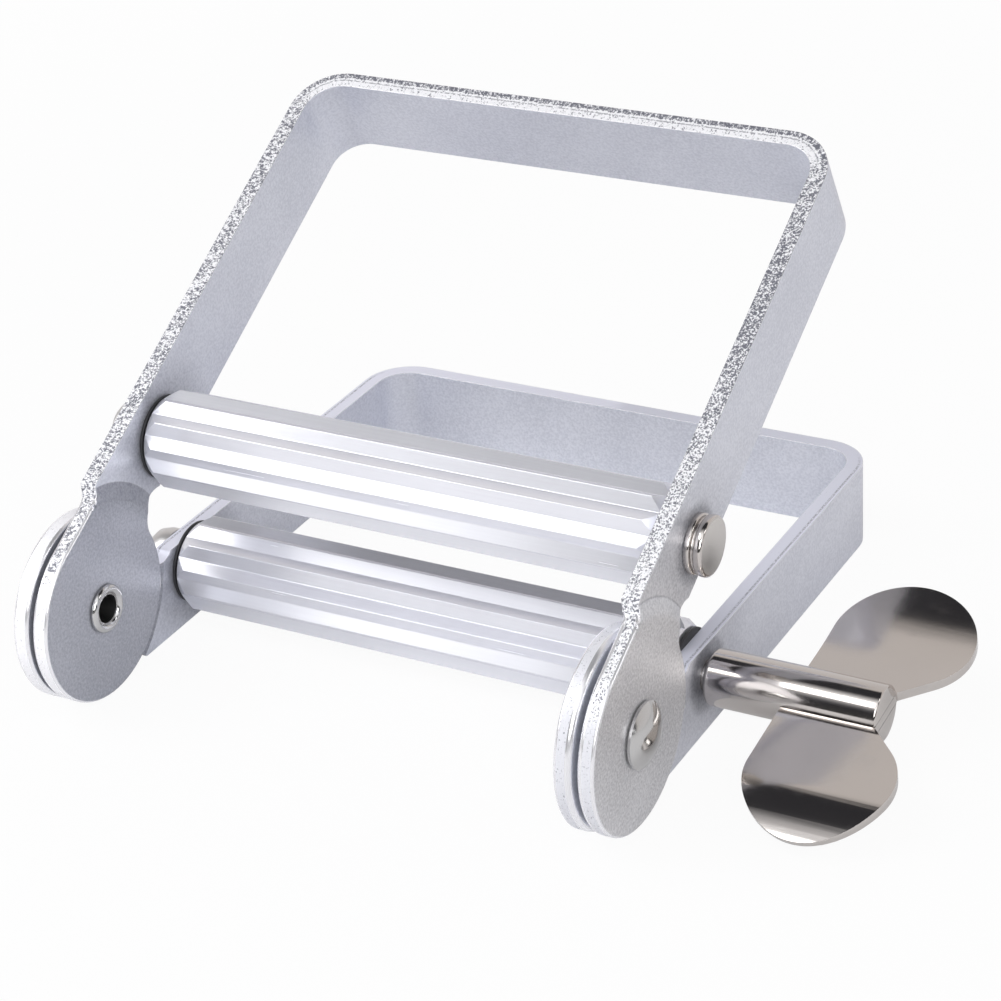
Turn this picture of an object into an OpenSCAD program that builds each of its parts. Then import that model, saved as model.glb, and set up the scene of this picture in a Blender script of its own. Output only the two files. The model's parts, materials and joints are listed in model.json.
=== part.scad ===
// Tube squeezer: two bent-strip frames hinged at the front, each with a fluted roller
// across its legs. The lower roller is turned by a wing key. The flattened end of a tube
// goes between the rollers.
// X runs along the hinge axis with the key on +X, +Y points to the end bars, +Z is up.
// The lower frame lies flat on its edges at z = 0.

/* [Frames] */
// Clear width between the two legs of a frame
inner_w = 58.2; // [44:0.2:80]
// Thickness of the strip that the frames are bent from
strip_t = 1.8; // [1.4:0.1:2.4]
// Width of the strip
strip_w = 9.5; // [9:0.25:13]
// Hinge axis to the outer face of the end bar
frame_len = 63.4; // [50:0.2:90]
// Inside radius of the two bends
bend_r = 3.6; // [2:0.2:8]
// Distance of the strip's middle line from the hinge axis
strip_offset = 5.8; // [5.4:0.1:8]
// Angle between the two frames as drawn
open_angle = 29; // [12:1:110]

/* [Hinge lobes] */
// Radius of the round hinge lobe at the foot of each leg
lobe_r = 9.8; // [8.5:0.1:11]
// Sideways step of the lobe out of the leg's plane
joggle = 0.5; // [0.3:0.1:0.8]
// Radius about the hinge axis where the step begins
joggle_r = 12.8; // [12:0.1:14]
// Radial run of the step
joggle_run = 1.6; // [0.6:0.1:2]
// Gap between two lobes that lie side by side
lobe_gap = 0.5; // [0.3:0.1:1]
// Distance along the leg where its front edge steps in to the width of the lobe
shoulder = 7.9; // [7:0.1:9]
// Length of that step along the leg
shoulder_run = 0.8; // [0.4:0.1:1.5]
// Radius of the scoop between the lobe and the rear edge of the leg
neck_r = 2.8; // [2:0.1:4]
// Depth of that scoop into the strip
neck_depth = 0.7; // [0.3:0.05:1.6]

/* [Hinge rivets] */
// Radius of the rivet shank
rivet_r = 2.1; // [1.8:0.1:2.6]
// Radius of the hollow in the rivet's tail
rivet_bore_r = 1.5; // [1:0.1:1.7]
// Depth of the hollow
rivet_bore_depth = 3.4; // [2:0.1:4]
// Radius of the domed head
dome_r = 3.3; // [2.9:0.1:4.2]
// Height of the domed head
dome_h = 1.5; // [1:0.1:2]
// Height of the straight rim below the dome
dome_rim = 0.35; // [0.2:0.05:0.6]
// Radius of the curl rolled on the tail
curl_r = 0.45; // [0.35:0.05:0.75]
// Play between a rivet and the lobe that turns on it
rivet_play = 0.15; // [0.1:0.05:0.25]

/* [Rollers] */
// Radius over the ridges
roller_r = 5.25; // [4.5:0.05:5.8]
// Depth of a flute
flute_depth = 0.85; // [0.4:0.05:1.1]
// Number of flutes
flutes = 12; // [8:1:18]
// Depth of the turned chamfer at each end of a roller
roller_chamfer = 0.85; // [0.4:0.05:1]
// Length of that chamfer along the roller
chamfer_len = 1.35; // [0.6:0.05:2]
// Hinge axis to roller axis, measured along the leg
roller_along = 18.4; // [17.5:0.1:22]
// Hinge axis to roller axis, measured across the leg
roller_rise = 4.45; // [4:0.05:6]
// Angle of one flute of the upper roller, seen along X in its frame
upper_flute_at = 2.3; // [0:0.1:30]
// Angle of one flute of the lower roller
lower_flute_at = 25.5; // [0:0.1:30]
// Radius of the thin washer at each end of a roller
washer_r = 4.4; // [3.6:0.1:5]
// Thickness of a washer
washer_t = 0.3; // [0.3:0.05:0.6]
// Gap between the left washer and its roller
left_gap = 0.25; // [0.2:0.05:0.6]
// Gap between the right washer and its roller
right_gap = 0.3; // [0.2:0.05:1]

/* [Pins] */
// Radius of the upper pin and of the key's shaft
pin_r = 1.6; // [1.3:0.05:2]
// Radial clearance where a pin or rivet turns in a hole
run_clear = 0.05; // [0.03:0.01:0.08]
// Radial clearance where a piece is fixed on a pin
fix_clear = 0.02; // [0.01:0.01:0.04]
// Radius of the upper pin's head and of the caps
head_r = 3; // [2.4:0.1:3.6]
// Height of the upper pin's head
head_h = 1.85; // [1.4:0.05:2.5]
// Depth of the groove around the head
head_groove = 0.4; // [0.2:0.05:0.6]
// Width of that groove
groove_w = 0.3; // [0.2:0.05:0.5]
// Edge chamfer on the head, the caps and the key's barrel
edge_c = 0.25; // [0.1:0.05:0.4]
// Length of the cap pressed on the far end of a pin
cap_len = 3; // [2.4:0.1:4]
// Length of pin that sits inside its cap
cap_grip = 2.2; // [1.5:0.1:2.2]

/* [Key] */
// Radius of the key's barrel
barrel_r = 2.9; // [2.4:0.1:3.6]
// Length of the barrel
barrel_len = 18; // [15:0.1:26]
// Running gap beside the lower frame's legs, at the barrel and at the cap
key_gap = 0.6; // [0.3:0.05:1]
// Thickness of the wing plate
wing_t = 1; // [0.8:0.1:1.4]
// Distance from the barrel's inner end to the near edge of the wing
wing_start = 8.4; // [6:0.1:11]
// Key axis to the tip of a blade, measured along the flat root
wing_reach = 17.9; // [15:0.1:20]
// Radius of the round end of a blade
blade_r = 7.2; // [6:0.1:8]
// Angle of the wing's root above the lower frame's plane
wing_angle = 6; // [-10:1:12]
// Radius of the bow of the rear blade, which curls up
rear_bow_r = 44; // [30:1:200]
// Radius of the bow of the front blade, which curls down
front_bow_r = 26; // [22:1:200]
// Distance from the key axis where the bows begin
bow_start = 6; // [4:0.5:8]
// Clearance of the plate in the barrel's slot
slot_clear = 0.05; // [0.02:0.01:0.1]

/* [Hidden] */
$fn = 96;

// The strip's two edges, across the leg from the hinge axis
v_lo = strip_offset - strip_w / 2;
v_hi = strip_offset + strip_w / 2;
// Sideways place of the lower frame, which brings each pair of lobes side by side
frame_shift = -(strip_t + lobe_gap - 2 * joggle);
// Faces of the lobes that the rivets bear on
left_out_x = frame_shift - inner_w / 2 - strip_t - joggle;
right_out_x = inner_w / 2 + strip_t + joggle;
rivet_grip = 2 * strip_t + lobe_gap + rivet_play;
// Rollers fill the width between the washers, less the two end gaps
roller_len = inner_w - 2 * washer_t - left_gap - right_gap;
roller_x = -inner_w / 2 + washer_t + left_gap;
// Key: inner end of the barrel, and the outer end of the cap on the far side
barrel_x = frame_shift + inner_w / 2 + strip_t + key_gap;
key_cap_x = frame_shift - inner_w / 2 - strip_t - key_gap;
// Drop of the front blade's tip below the hinge axis
tip_drop = roller_rise + wing_reach * sin(wing_angle) + wing_t / 2
    + (front_bow_r - sqrt(front_bow_r ^ 2 - (wing_reach - bow_start) ^ 2)) * cos(wing_angle);
// Place of the hinge axis, with the object's middle over the origin
x_max = barrel_x + wing_start + 2 * blade_r;
x_min = key_cap_x - cap_len;
hinge_at = [-(x_max + x_min) / 2, (lobe_r - frame_len) / 2, max(v_hi, lobe_r, tip_drop)];
// Small amount by which curves that would only touch are made to cross
cross = 0.02;
// Length by which a cutter or an overlap runs past the face that it crosses
run_past = 1;
// Scoop at the neck: it runs into the lobe and cuts neck_depth into the strip
neck_v = v_lo + neck_depth - neck_r;
neck_c = [sqrt((lobe_r + neck_r - cross) ^ 2 - neck_v ^ 2), neck_v];
neck_end = [neck_c.x + sqrt(neck_r ^ 2 - (v_lo - neck_v) ^ 2), v_lo];

// Turns a shape drawn along Z so that it runs along +X from the given place
module along_x(x) {
    translate([x, 0, 0])
        rotate([0, 90, 0])
            children();
}

// Turns a flat outline into a slab from x to x + t, with its X on Y and its Y on Z
module slab(x, t) {
    translate([x, 0, 0])
        rotate([90, 0, 90])
            linear_extrude(t)
                children();
}

// Places a shape on the upper frame, in the frame's own axes
module on_upper() {
    translate(hinge_at)
        rotate([open_angle, 0, 0])
            children();
}

// Places a shape on the lower frame
module on_lower() {
    translate(hinge_at)
        translate([frame_shift, 0, 0])
            children();
}

// Side view of one leg with its lobe: the hinge axis at the origin, the leg along +X
module side_outline() {
    difference() {
        union() {
            circle(lobe_r);
            translate([shoulder, v_lo])
                square([frame_len - shoulder, strip_w]);
            polygon([[0, 0], [0, lobe_r - cross], [shoulder - shoulder_run, lobe_r - cross],
                [shoulder, v_hi], neck_end, neck_c]);
        }
        translate(neck_c)
            circle(neck_r);
    }
}

// Plan of the bent strip, grown outwards from the inside face by t
module u_plan(t) {
    half = inner_w / 2 + t;
    top = frame_len - strip_t + t;
    r = bend_r + t;
    translate([-half, -lobe_r])
        square([2 * half, top - r + lobe_r]);
    translate([r - half, 0])
        square([2 * (half - r), top]);
    for (s = [-1, 1])
        translate([s * (half - r), top - r])
            circle(r);
}

// One frame in its own axes. The lower frame is the same piece turned over.
module frame_blank() {
    difference() {
        union() {
            intersection() {
                slab(-inner_w / 2 - strip_t - run_past, inner_w + 2 * (strip_t + run_past))
                    side_outline();
                translate([0, 0, -lobe_r - run_past])
                    linear_extrude(lobe_r + v_hi + 2 * run_past)
                        difference() {
                            u_plan(strip_t);
                            u_plan(0);
                            translate([-inner_w / 2, -lobe_r - run_past])
                                square([inner_w, lobe_r + 2 * run_past]);
                        }
            }
            for (x = [-inner_w / 2, inner_w / 2 + strip_t])
                intersection() {
                    slab(x, joggle)
                        side_outline();
                    along_x(x)
                        cylinder(h = joggle, r1 = joggle_r, r2 = joggle_r - joggle_run);
                }
        }
        for (x = [-inner_w / 2 - strip_t, inner_w / 2])
            along_x(x)
                cylinder(h = joggle, r1 = joggle_r, r2 = joggle_r - joggle_run);
        along_x(-inner_w)
            cylinder(h = 2 * inner_w, r = rivet_r + run_clear);
        translate([0, roller_along, roller_rise])
            along_x(-inner_w)
                cylinder(h = 2 * inner_w, r = pin_r + run_clear);
    }
}

// Semi-tubular rivet: underside of the head at x = 0, head towards +X, curl at -X
module rivet() {
    cap_h = dome_h - dome_rim;
    ball_r = (dome_r ^ 2 + cap_h ^ 2) / (2 * cap_h);
    along_x(0)
        rotate_extrude()
            difference() {
                union() {
                    translate([0, -rivet_grip])
                        square([rivet_r, rivet_grip + dome_rim]);
                    square([dome_r, dome_rim]);
                    intersection() {
                        translate([0, dome_h - ball_r])
                            circle(ball_r);
                        translate([0, dome_rim / 2])
                            square([dome_r, dome_h]);
                    }
                    intersection() {
                        translate([rivet_r, -rivet_grip])
                            circle(curl_r);
                        translate([0, -rivet_grip - 2 * curl_r])
                            square([rivet_r + 2 * curl_r, 2 * curl_r]);
                    }
                    translate([0, -rivet_grip - curl_r])
                        square([rivet_r, curl_r]);
                }
                translate([-run_past, -rivet_grip - 2 * curl_r])
                    square([run_past + rivet_bore_r, rivet_bore_depth + 2 * curl_r]);
            }
}

// Fluted roller with turned end chamfers. One flute lies at flute_at.
module roller(flute_at, bore_r) {
    step = 180 / flutes;
    over = 0.05;
    c = roller_chamfer;
    end = chamfer_len;
    difference() {
        intersection() {
            slab(0, roller_len)
                polygon([for (i = [0:2 * flutes - 1])
                    let (r = i % 2 == 0 ? roller_r - flute_depth : roller_r)
                    r * [cos(flute_at + i * step), sin(flute_at + i * step)]]);
            along_x(0)
                rotate_extrude()
                    polygon([[0, 0], [roller_r - c, 0],
                        [roller_r + over, end * (1 + over / c)],
                        [roller_r + over, roller_len - end * (1 + over / c)],
                        [roller_r - c, roller_len], [0, roller_len]]);
        }
        along_x(-run_past)
            cylinder(h = roller_len + 2 * run_past, r = bore_r);
    }
}

// Thin washer, from x = 0 towards +X
module washer() {
    difference() {
        along_x(0)
            cylinder(h = washer_t, r = washer_r);
        along_x(-run_past)
            cylinder(h = washer_t + 2 * run_past, r = pin_r + run_clear);
    }
}

// Cap on the far end of a pin: open end at x = 0, body towards -X
module pin_cap() {
    difference() {
        along_x(-cap_len)
            rotate_extrude()
                polygon([[0, 0], [head_r - 2 * edge_c, 0], [head_r, 2 * edge_c],
                    [head_r, cap_len], [0, cap_len]]);
        along_x(-cap_grip - fix_clear)
            cylinder(h = cap_grip + run_past, r = pin_r + fix_clear);
    }
}

module lower_frame() {
    color("lightsteelblue")
        on_lower()
            rotate([0, 180, 0])
                frame_blank();
}

module upper_frame() {
    color("lavender")
        on_upper()
            frame_blank();
}

module hinge_rivet_left() {
    color("darkgray")
        translate(hinge_at)
            translate([left_out_x, 0, 0])
                rotate([0, 0, 180])
                    rivet();
}

module hinge_rivet_right() {
    color("darkgray")
        translate(hinge_at)
            translate([right_out_x + rivet_play, 0, 0])
                rivet();
}

module lower_washer_left() {
    color("dimgray")
        on_lower()
            translate([-inner_w / 2, roller_along, -roller_rise])
                washer();
}

module lower_washer_right() {
    color("dimgray")
        on_lower()
            translate([inner_w / 2 - washer_t, roller_along, -roller_rise])
                washer();
}

module upper_washer_left() {
    color("dimgray")
        on_upper()
            translate([-inner_w / 2, roller_along, roller_rise])
                washer();
}

module upper_washer_right() {
    color("dimgray")
        on_upper()
            translate([inner_w / 2 - washer_t, roller_along, roller_rise])
                washer();
}

// Headed pin that carries the upper roller
module upper_pin() {
    head_x = inner_w / 2 + strip_t;
    foot_x = -inner_w / 2 - strip_t - cap_grip;
    low = (head_h - groove_w) * 0.4;
    color("silver")
        on_upper()
            translate([0, roller_along, roller_rise]) {
                along_x(foot_x)
                    cylinder(h = head_x - foot_x + low, r = pin_r);
                along_x(head_x)
                    rotate_extrude()
                        polygon([[0, 0], [head_r, 0], [head_r, low - edge_c],
                            [head_r - edge_c, low], [head_r - head_groove, low],
                            [head_r - head_groove, low + groove_w],
                            [head_r - edge_c, low + groove_w],
                            [head_r, low + groove_w + edge_c], [head_r, head_h - edge_c],
                            [head_r - edge_c, head_h], [0, head_h]]);
            }
}

module upper_pin_cap() {
    color("silver")
        on_upper()
            translate([-inner_w / 2 - strip_t, roller_along, roller_rise])
                pin_cap();
}

module upper_roller() {
    color("whitesmoke")
        on_upper()
            translate([roller_x, roller_along, roller_rise])
                roller(upper_flute_at, pin_r + run_clear);
}

module lower_roller() {
    color("whitesmoke")
        on_lower()
            translate([roller_x, roller_along, -roller_rise])
                roller(lower_flute_at, pin_r + fix_clear);
}

// Shaft through the lower roller, with the slotted barrel outside the frame
module key_shaft() {
    shaft_end = key_cap_x - frame_shift - cap_grip;
    barrel_start = barrel_x - frame_shift;
    color("silver")
        on_lower()
            translate([0, roller_along, -roller_rise])
                difference() {
                    union() {
                        along_x(shaft_end)
                            cylinder(h = barrel_start - shaft_end + run_past, r = pin_r);
                        along_x(barrel_start)
                            rotate_extrude()
                                polygon([[0, 0], [barrel_r - 2 * edge_c, 0],
                                    [barrel_r, 2 * edge_c], [barrel_r, barrel_len - edge_c],
                                    [barrel_r - edge_c, barrel_len], [0, barrel_len]]);
                    }
                    translate([barrel_start + wing_start - slot_clear, 0, 0])
                        rotate([wing_angle, 0, 0])
                            translate([0, -barrel_r - run_past, -wing_t / 2 - slot_clear])
                                cube([barrel_len, 2 * (barrel_r + run_past),
                                    wing_t + 2 * slot_clear]);
                }
}

module key_cap() {
    color("silver")
        on_lower()
            translate([key_cap_x - frame_shift, roller_along, -roller_rise])
                pin_cap();
}

// Outline of one blade. X is measured from the barrel's inner end and Y from the key axis.
module blade_outline() {
    c = [wing_start + blade_r, wing_reach - blade_r];
    p = [barrel_len, barrel_r];
    a = atan2(p.y - c.y, p.x - c.x) + acos(blade_r / norm(p - c));
    translate(c)
        circle(blade_r);
    polygon([[wing_start, 0], [wing_start, c.y], c, c + blade_r * [cos(a), sin(a)], p,
        [barrel_len, 0]]);
}

// Half of the wing: a flat root, then a bow of radius r towards +Z
module half_wing(r) {
    long = wing_start + 3 * blade_r;
    intersection() {
        translate([0, 0, -wing_reach])
            linear_extrude(2 * wing_reach)
                blade_outline();
        union() {
            translate([0, -cross, -wing_t / 2])
                cube([long, bow_start + cross, wing_t]);
            intersection() {
                translate([0, bow_start, r])
                    along_x(0)
                        difference() {
                            cylinder(h = long, r = r + wing_t / 2, $fn = 360);
                            translate([0, 0, -run_past])
                                cylinder(h = long + 2 * run_past, r = r - wing_t / 2,
                                    $fn = 360);
                        }
                translate([0, bow_start, -wing_t])
                    cube([long, wing_reach, r]);
            }
        }
    }
}

// Two-bladed wing plate, pushed into the slot of the barrel
module wing() {
    color("silver")
        on_lower()
            translate([barrel_x - frame_shift, roller_along, -roller_rise])
                rotate([wing_angle, 0, 0]) {
                    half_wing(rear_bow_r);
                    rotate([180, 0, 0])
                        half_wing(front_bow_r);
                }
}

lower_frame();
hinge_rivet_left();
hinge_rivet_right();
lower_washer_left();
lower_washer_right();
upper_frame();
upper_pin();
upper_pin_cap();
upper_washer_left();
upper_washer_right();
upper_roller();
lower_roller();
key_shaft();
key_cap();
wing();
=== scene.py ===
"""Looks of a tube squeezer: two bent-strip frames, two fluted rollers and a wing key.

Each sub-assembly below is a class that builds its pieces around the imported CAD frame, in
the CAD's own axes: X along the hinge with the key on +X, Z up, the lower frame on z = 0.
Sizes held by the classes are in millimetres, and finished meshes are in metres.
"""

import json
import logging
import math
from dataclasses import dataclass, field
from enum import Enum
from typing import Any, Iterable, Sequence, Union

import bmesh
import bpy
from bmesh.types import BMEdge, BMesh, BMFace, BMVert
from mathutils import Matrix, Quaternion, Vector


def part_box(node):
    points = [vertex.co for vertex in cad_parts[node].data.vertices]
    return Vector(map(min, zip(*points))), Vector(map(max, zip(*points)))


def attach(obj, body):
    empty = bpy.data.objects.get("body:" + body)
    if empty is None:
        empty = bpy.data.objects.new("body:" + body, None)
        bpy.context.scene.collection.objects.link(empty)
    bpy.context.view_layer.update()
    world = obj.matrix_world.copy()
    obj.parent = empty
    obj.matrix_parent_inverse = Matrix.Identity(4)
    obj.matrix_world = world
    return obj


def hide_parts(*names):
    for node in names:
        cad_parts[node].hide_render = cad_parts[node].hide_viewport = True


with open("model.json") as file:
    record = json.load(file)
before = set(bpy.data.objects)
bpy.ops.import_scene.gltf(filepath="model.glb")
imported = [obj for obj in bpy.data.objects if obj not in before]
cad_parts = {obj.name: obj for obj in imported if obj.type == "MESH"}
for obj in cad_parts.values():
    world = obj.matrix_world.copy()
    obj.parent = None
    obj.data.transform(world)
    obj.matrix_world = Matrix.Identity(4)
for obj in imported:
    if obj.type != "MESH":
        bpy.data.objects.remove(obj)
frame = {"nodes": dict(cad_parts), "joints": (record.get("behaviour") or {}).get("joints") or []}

log = logging.getLogger("tube_squeezer")

MM = 0.001
STRIP_PLACE = "strip_place"

# Tolerances, in metres.
SAME_POINT = 1e-7
SAME_CAD_POINT = 2e-6
ON_RING = 1e-6
ON_PLANE = 1e-8

# Angles, in degrees: below the first a CAD face is flat, below the second a turned one
# is shaded smooth.
FLAT_DEG = 0.4
TURNED_SMOOTH_DEG = 35.0

Triple = tuple[float, float, float]
Colour = Triple
Span = tuple[float, float]

# Where the left half gives way to the right one, in millimetres.
LEFT_TO_RIGHT: Span = (-1.0, 1.0)


# ---------------------------------------------------------------- shader expressions

class Sock:
    """An output socket that takes part in Python expressions."""

    def __init__(self, graph: "Graph", socket: bpy.types.NodeSocket) -> None:
        """Wraps a socket of one graph."""
        self.graph = graph
        self.socket = socket

    def _math(self, operation: str, *values: "Value") -> "Sock":
        """Adds one Math node.

        Args:
            operation: what the node works out.
            values: its inputs, in order.

        Returns:
            The node's result.
        """
        node = self.graph.node("ShaderNodeMath", {"operation": operation},
                               dict(enumerate(values)))
        return self.graph.out(node)

    def __add__(self, other: "Value") -> "Sock":
        """self + other."""
        return self._math("ADD", self, other)

    __radd__ = __add__

    def __sub__(self, other: "Value") -> "Sock":
        """self - other."""
        return self._math("SUBTRACT", self, other)

    def __rsub__(self, other: "Value") -> "Sock":
        """other - self."""
        return self._math("SUBTRACT", other, self)

    def __mul__(self, other: "Value") -> "Sock":
        """self * other."""
        return self._math("MULTIPLY", self, other)

    __rmul__ = __mul__

    def __truediv__(self, other: "Value") -> "Sock":
        """self / other."""
        return self._math("DIVIDE", self, other)

    def least(self, other: "Value") -> "Sock":
        """The smaller of the two."""
        return self._math("MINIMUM", self, other)

    def most(self, other: "Value") -> "Sock":
        """The larger of the two."""
        return self._math("MAXIMUM", self, other)

    def rise(self, start: float, end: float) -> "Sock":
        """A smooth step.

        Args:
            start: the value up to which the step is 0.
            end: the value from which it is 1.

        Returns:
            The step, from 0 to 1.
        """
        node = self.graph.node("ShaderNodeMapRange", {"interpolation_type": "SMOOTHSTEP"},
                               {"Value": self, "From Min": start, "From Max": end})
        return self.graph.out(node)

    def band(self, begins: Span, ends: Span) -> "Sock":
        """1 in a band that begins and ends over the given spans, and 0 outside it."""
        return self.rise(*begins) * (1.0 - self.rise(*ends))


Value = Union[Sock, float, Sequence[float]]


class Graph:
    """The node tree of one material or world."""

    def __init__(self, tree: bpy.types.NodeTree) -> None:
        """Empties the tree."""
        self.tree = tree
        tree.nodes.clear()

    def node(self, kind: str, settings: dict[str, Any] | None = None,
             inputs: dict[Any, Value] | None = None) -> bpy.types.Node:
        """Adds a node.

        Args:
            kind: Blender's name of the node's type.
            settings: properties set first; "stops" gives a ramp's positions and colours.
            inputs: values or links by the socket's name or number.

        Returns:
            The node.
        """
        node = self.tree.nodes.new(kind)
        for name, value in (settings or {}).items():
            if name == "stops":
                self._fill_ramp(node.color_ramp, value)
            else:
                setattr(node, name, value)
        for name, value in (inputs or {}).items():
            if isinstance(value, Sock):
                self.tree.links.new(value.socket, node.inputs[name])
            elif isinstance(value, (int, float)):
                node.inputs[name].default_value = value
            else:
                wanted = len(node.inputs[name].default_value)
                node.inputs[name].default_value = (*value, 1.0)[:wanted]
        return node

    @staticmethod
    def _fill_ramp(ramp: bpy.types.ColorRamp, stops: Sequence[tuple[float, Colour]]) -> None:
        """Gives a ramp its stops.

        Args:
            ramp: the ramp, as it is when its node is new.
            stops: each stop's position and colour.
        """
        while len(ramp.elements) < len(stops):
            ramp.elements.new(1.0)
        for element, (place, colour) in zip(ramp.elements, stops):
            element.position = place
            element.color = (*colour, 1.0)

    def out(self, node: bpy.types.Node, output: Any = 0) -> Sock:
        """One output of a node."""
        return Sock(self, node.outputs[output])

    def mix(self, factor: Value, first: Value, second: Value) -> Sock:
        """A colour between two colours.

        Args:
            factor: 0 for the first colour, 1 for the second.
            first: the first colour.
            second: the second colour.

        Returns:
            The mixed colour.
        """
        node = self.node("ShaderNodeMix", {"data_type": "RGBA"},
                         {0: factor, 6: first, 7: second})
        return self.out(node, 2)

    def place(self, stretch: Triple = (1.0, 1.0, 1.0)) -> Sock:
        """Object coordinates in millimetres.

        Args:
            stretch: a factor for each axis.

        Returns:
            The coordinates, times the factors.
        """
        coords = self.out(self.node("ShaderNodeTexCoord"), "Object")
        scale = [s / MM for s in stretch]
        return self.out(self.node("ShaderNodeVectorMath", {"operation": "MULTIPLY"},
                                  {0: coords, 1: scale}))

    def parts(self, vector: Sock) -> tuple[Sock, Sock, Sock]:
        """The three numbers of a vector."""
        node = self.node("ShaderNodeSeparateXYZ", None, {0: vector})
        return self.out(node, 0), self.out(node, 1), self.out(node, 2)

    def attribute(self, name: str) -> tuple[Sock, Sock, Sock]:
        """The three numbers of a vector attribute of the mesh."""
        node = self.node("ShaderNodeAttribute", {"attribute_name": name})
        return self.parts(self.out(node, "Vector"))

    def vector(self, x: Value, y: Value, z: Value) -> Sock:
        """A vector from three numbers."""
        return self.out(self.node("ShaderNodeCombineXYZ", None, {0: x, 1: y, 2: z}))

    def noise(self, where: Sock, cells: float, detail: float = 2.0, rough: float = 0.5,
              twist: float = 0.0) -> Sock:
        """Noise from 0 to 1.

        Args:
            where: the coordinates, in millimetres.
            cells: number of cells a millimetre.
            detail: number of finer layers.
            rough: share of each finer layer.
            twist: how much the noise is distorted.

        Returns:
            The noise.
        """
        node = self.node("ShaderNodeTexNoise", None,
                         {"Vector": where, "Scale": cells, "Detail": detail,
                          "Roughness": rough, "Distortion": twist})
        return self.out(node, 0)

    def bump(self, height: Sock, depth_mm: float) -> Sock:
        """A normal from a relief.

        Args:
            height: the relief, from 0 to 1.
            depth_mm: the height that 1 stands for.

        Returns:
            The normal.
        """
        node = self.node("ShaderNodeBump", None,
                         {"Height": height, "Distance": depth_mm * MM, "Strength": 1.0})
        return self.out(node)


# ------------------------------------------------------------------------- finishes

class Slot(Enum):
    """The material slots of the record."""

    FRAME = "frame_metal"
    ROLLER = "roller_metal"
    PLATED = "plated_steel"
    WASHER = "washer_plastic"


@dataclass(frozen=True)
class Finish:
    """A procedural finish. Subclasses say how it is painted."""

    name: str = "finish"
    colour: Colour = (0.6, 0.6, 0.6)
    roughness: float = 0.4
    metallic: float = 1.0

    def material(self) -> bpy.types.Material:
        """Makes the material once.

        Returns:
            The material, the same one for every piece.
        """
        known = bpy.data.materials.get(self.name)
        if known is not None:
            return known
        made = bpy.data.materials.new(self.name)
        made.use_nodes = True
        made.diffuse_color = (*self.colour, 1.0)
        graph = Graph(made.node_tree)
        inputs = {"Base Color": self.colour, "Roughness": self.roughness,
                  "Metallic": self.metallic}
        inputs.update(self.paint(graph))
        shader = graph.node("ShaderNodeBsdfPrincipled", None, inputs)
        graph.node("ShaderNodeOutputMaterial", None, {"Surface": graph.out(shader)})
        return made

    def paint(self, graph: Graph) -> dict[str, Value]:
        """What varies over the surface, by the shader's socket."""
        return {}


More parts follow.
